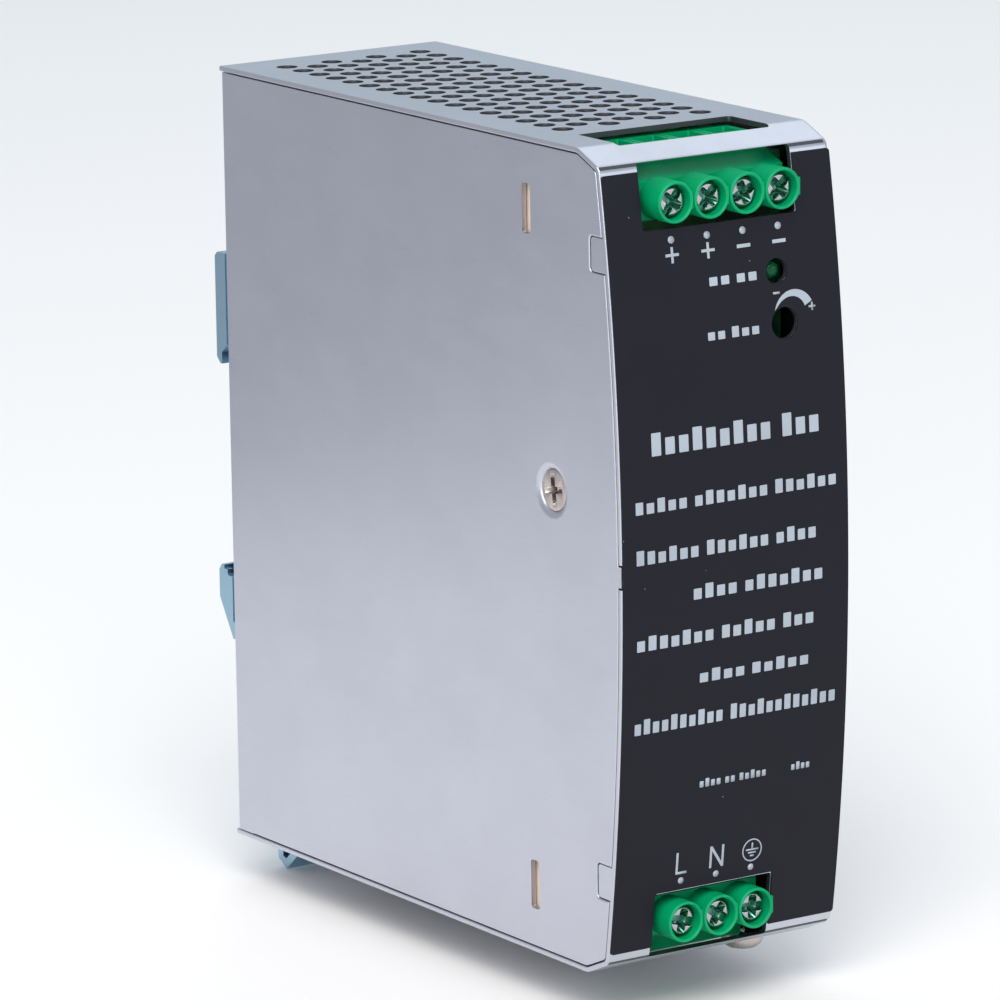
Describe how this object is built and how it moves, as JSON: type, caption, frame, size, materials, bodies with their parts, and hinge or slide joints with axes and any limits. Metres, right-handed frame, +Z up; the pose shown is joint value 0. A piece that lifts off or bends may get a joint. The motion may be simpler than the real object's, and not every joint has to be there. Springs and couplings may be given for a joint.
{
  "type": "din rail power supply",
  "caption": "Slim rail-mounted switching power supply with a vented sheet case, bowed label front, screw terminals above and below, a voltage trimmer, a status lamp and a sprung rail latch.",
  "frame": {"origin": "middle of the clip face that sits against the rail", "axes": "+Z up, +Y out of the back towards the rail so the label front faces -Y, +X to the right seen from the front"},
  "size_m": [0.041, 0.1141, 0.1306],
  "materials": {
    "case_sheet": "satin folded sheet",
    "label": "satin printed film",
    "clip_steel": "blue-white zinc plating",
    "screw_steel": "plated steel",
    "bright_steel": "bright steel",
    "insulator": "insulating film",
    "board": "solder mask over laminate",
    "nylon": "moulded nylon",
    "terminal_green": "moulded polyamide",
    "contact_brass": "tinned brass",
    "trimmer_blue": "moulded",
    "trimmer_rotor": "moulded",
    "led_green": "tinted epoxy lens",
    "fuse_tube": "glazed tube with plated caps",
    "film_yellow": "boxed film capacitor",
    "copper_winding": "enamelled copper",
    "black_plastic": "moulded package",
    "capacitor_sleeve": "shrink sleeve",
    "heatsink": "mill finish",
    "ferrite": "sintered ferrite",
    "winding_tape": "polyester tape"
  },
  "bodies": {
    "case": {"bottom_screw": "screw_steel", "bridge_rectifier": "black_plastic", "bulk_capacitor": "capacitor_sleeve", "chassis_shell": "case_sheet", "clip_base": "clip_steel", "clip_rivet_left": "bright_steel", "clip_rivet_right": "bright_steel", "common_mode_choke": "copper_winding", "control_chip": "black_plastic", "cover_pillar": "bright_steel", "earth_bracket": "bright_steel", "filter_capacitor": "film_yellow", "front_label": "label", "input_contact_1": "contact_brass", "input_contact_2": "contact_brass", "input_contact_3": "contact_brass", "input_fuse": "fuse_tube", "input_terminal_board": "board", "input_terminal_body": "terminal_green", "insulation_sheet": "insulator", "latch_rivet_left": "bright_steel", "latch_rivet_right": "bright_steel", "latch_spring": "bright_steel", "main_board": "board", "output_capacitor": "capacitor_sleeve", "output_contact_1": "contact_brass", "output_contact_2": "contact_brass", "output_contact_3": "contact_brass", "output_contact_4": "contact_brass", "output_inductor": "copper_winding", "output_terminal_board": "board", "output_terminal_body": "terminal_green", "power_led": "led_green", "primary_heatsink": "heatsink", "primary_transistor": "black_plastic", "secondary_heatsink": "heatsink", "secondary_rectifier": "black_plastic", "side_cover": "case_sheet", "side_cover_screw": "screw_steel", "standoff_lower": "nylon", "standoff_upper": "nylon", "transformer_core": "ferrite", "transformer_winding": "winding_tape", "voltage_trimmer_body": "trimmer_blue"},
    "latch": {"clip_latch": "clip_steel"},
    "output_screw_1": {"output_screw_1": "bright_steel"},
    "output_wire_clamp_1": {"output_wire_clamp_1": "bright_steel"},
    "output_screw_2": {"output_screw_2": "bright_steel"},
    "output_wire_clamp_2": {"output_wire_clamp_2": "bright_steel"},
    "output_screw_3": {"output_screw_3": "bright_steel"},
    "output_wire_clamp_3": {"output_wire_clamp_3": "bright_steel"},
    "output_screw_4": {"output_screw_4": "bright_steel"},
    "output_wire_clamp_4": {"output_wire_clamp_4": "bright_steel"},
    "input_screw_1": {"input_screw_1": "bright_steel"},
    "input_wire_clamp_1": {"input_wire_clamp_1": "bright_steel"},
    "input_screw_2": {"input_screw_2": "bright_steel"},
    "input_wire_clamp_2": {"input_wire_clamp_2": "bright_steel"},
    "input_screw_3": {"input_screw_3": "bright_steel"},
    "input_wire_clamp_3": {"input_wire_clamp_3": "bright_steel"},
    "trimmer_rotor": {"voltage_trimmer_rotor": "trimmer_rotor"}
  },
  "joints": [
    {"name": "latch_slide", "type": "slide", "parent": "case", "child": "latch", "axis": [0, 0, -1], "range_m": [0, 0.004], "stiffness_N_per_m": 1500, "springref_m": -0.002, "deforming": ["latch_spring"]},
    {"name": "output_screw_turn_1", "type": "hinge", "parent": "case", "child": "output_screw_1", "pos_m": [-0.00924, -0.1077, 0.05605], "axis": [0, 1, 0], "range_deg": [0, 1620]},
    {"name": "output_clamp_rise_1", "type": "slide", "parent": "case", "child": "output_wire_clamp_1", "axis": [0, -1, 0], "range_m": [0, 0.00225]},
    {"name": "output_screw_turn_2", "type": "hinge", "parent": "case", "child": "output_screw_2", "pos_m": [-0.0029, -0.1077, 0.05605], "axis": [0, 1, 0], "range_deg": [0, 1620]},
    {"name": "output_clamp_rise_2", "type": "slide", "parent": "case", "child": "output_wire_clamp_2", "axis": [0, -1, 0], "range_m": [0, 0.00225]},
    {"name": "output_screw_turn_3", "type": "hinge", "parent": "case", "child": "output_screw_3", "pos_m": [0.00346, -0.1077, 0.05605], "axis": [0, 1, 0], "range_deg": [0, 1620]},
    {"name": "output_clamp_rise_3", "type": "slide", "parent": "case", "child": "output_wire_clamp_3", "axis": [0, -1, 0], "range_m": [0, 0.00225]},
    {"name": "output_screw_turn_4", "type": "hinge", "parent": "case", "child": "output_screw_4", "pos_m": [0.0098, -0.1077, 0.05605], "axis": [0, 1, 0], "range_deg": [0, 1620]},
    {"name": "output_clamp_rise_4", "type": "slide", "parent": "case", "child": "output_wire_clamp_4", "axis": [0, -1, 0], "range_m": [0, 0.00225]},
    {"name": "input_screw_turn_1", "type": "hinge", "parent": "case", "child": "input_screw_1", "pos_m": [-0.0086, -0.1077, -0.0517], "axis": [0, 1, 0], "range_deg": [0, 1620]},
    {"name": "input_clamp_rise_1", "type": "slide", "parent": "case", "child": "input_wire_clamp_1", "axis": [0, -1, 0], "range_m": [0, 0.00225]},
    {"name": "input_screw_turn_2", "type": "hinge", "parent": "case", "child": "input_screw_2", "pos_m": [-0.00225, -0.1077, -0.0517], "axis": [0, 1, 0], "range_deg": [0, 1620]},
    {"name": "input_clamp_rise_2", "type": "slide", "parent": "case", "child": "input_wire_clamp_2", "axis": [0, -1, 0], "range_m": [0, 0.00225]},
    {"name": "input_screw_turn_3", "type": "hinge", "parent": "case", "child": "input_screw_3", "pos_m": [0.0041, -0.1077, -0.0517], "axis": [0, 1, 0], "range_deg": [0, 1620]},
    {"name": "input_clamp_rise_3", "type": "slide", "parent": "case", "child": "input_wire_clamp_3", "axis": [0, -1, 0], "range_m": [0, 0.00225]},
    {"name": "trimmer_turn", "type": "hinge", "parent": "case", "child": "trimmer_rotor", "pos_m": [0.0099, -0.0989, 0.0361], "axis": [0, 1, 0], "range_deg": [-135, 135]}
  ],
  "couplings": [
    {"joint": "output_screw_turn_1", "follows": "output_clamp_rise_1", "rad_per_m": 12566},
    {"joint": "output_screw_turn_2", "follows": "output_clamp_rise_2", "rad_per_m": 12566},
    {"joint": "output_screw_turn_3", "follows": "output_clamp_rise_3", "rad_per_m": 12566},
    {"joint": "output_screw_turn_4", "follows": "output_clamp_rise_4", "rad_per_m": 12566},
    {"joint": "input_screw_turn_1", "follows": "input_clamp_rise_1", "rad_per_m": 12566},
    {"joint": "input_screw_turn_2", "follows": "input_clamp_rise_2", "rad_per_m": 12566},
    {"joint": "input_screw_turn_3", "follows": "input_clamp_rise_3", "rad_per_m": 12566}
  ]
}
